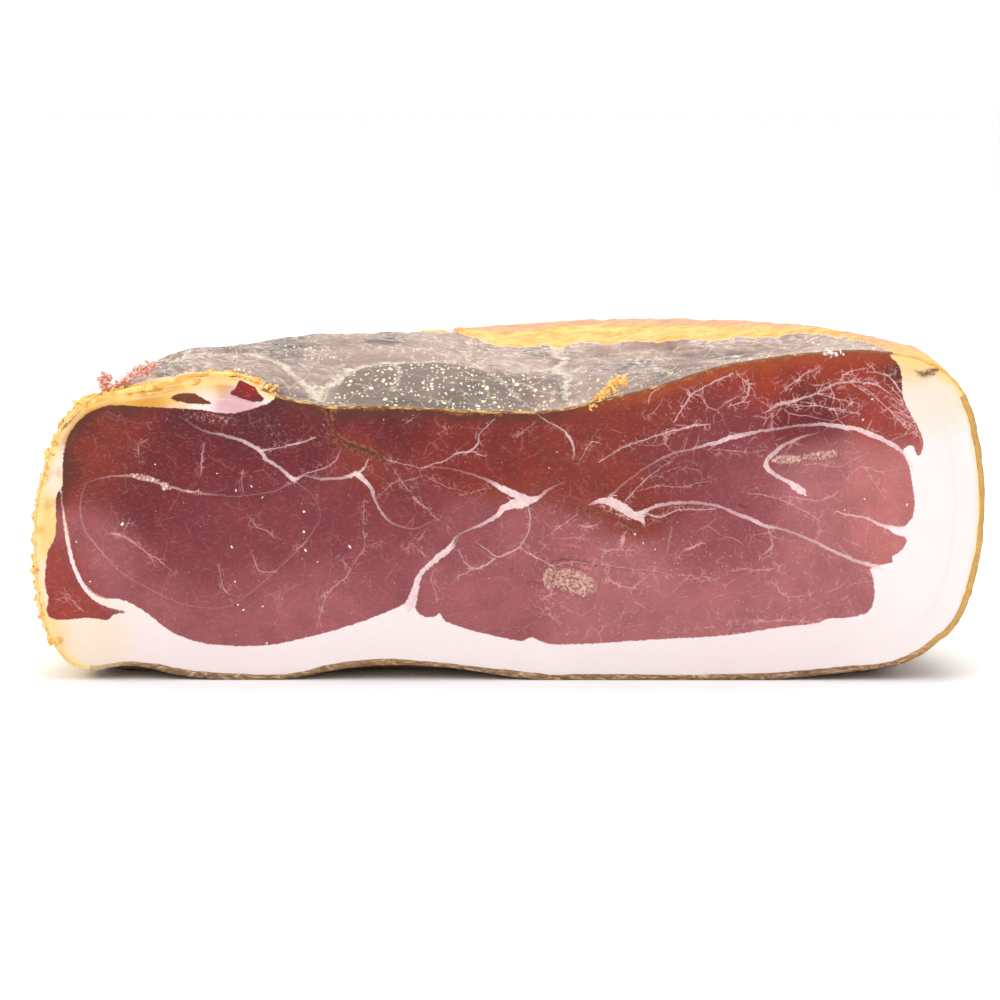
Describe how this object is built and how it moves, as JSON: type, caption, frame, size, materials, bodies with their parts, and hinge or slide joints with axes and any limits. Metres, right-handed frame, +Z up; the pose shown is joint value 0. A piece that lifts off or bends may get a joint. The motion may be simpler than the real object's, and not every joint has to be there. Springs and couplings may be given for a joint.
{
  "type": "cured ham",
  "caption": "Boneless dry-cured ham cut across, lying rind down, with its marbled lean and thick fat band on the flat cut face and a dried crust on top.",
  "frame": {"origin": "on the resting plane, under the middle of the ham's width and depth", "axes": "+X along the cut face to the rind end, +Y from the cut face to the round back, +Z up from the rind to the flesh side"},
  "size_m": [0.264, 0.15, 0.0925],
  "materials": {
    "lean": "moist dark red lean meat with fine fat veins, soft sheen",
    "fat": "waxy pinkish-white fat, cream to yellow near the outside",
    "rind": "tough golden-brown skin with fine wrinkles and pores",
    "crust": "dry grey-brown flesh side with a whitish bloom and pale specks",
    "salt": "small white salt and protein crystals"
  },
  "bodies": {
    "root": {"ham": "lean"}
  },
  "joints": []
}
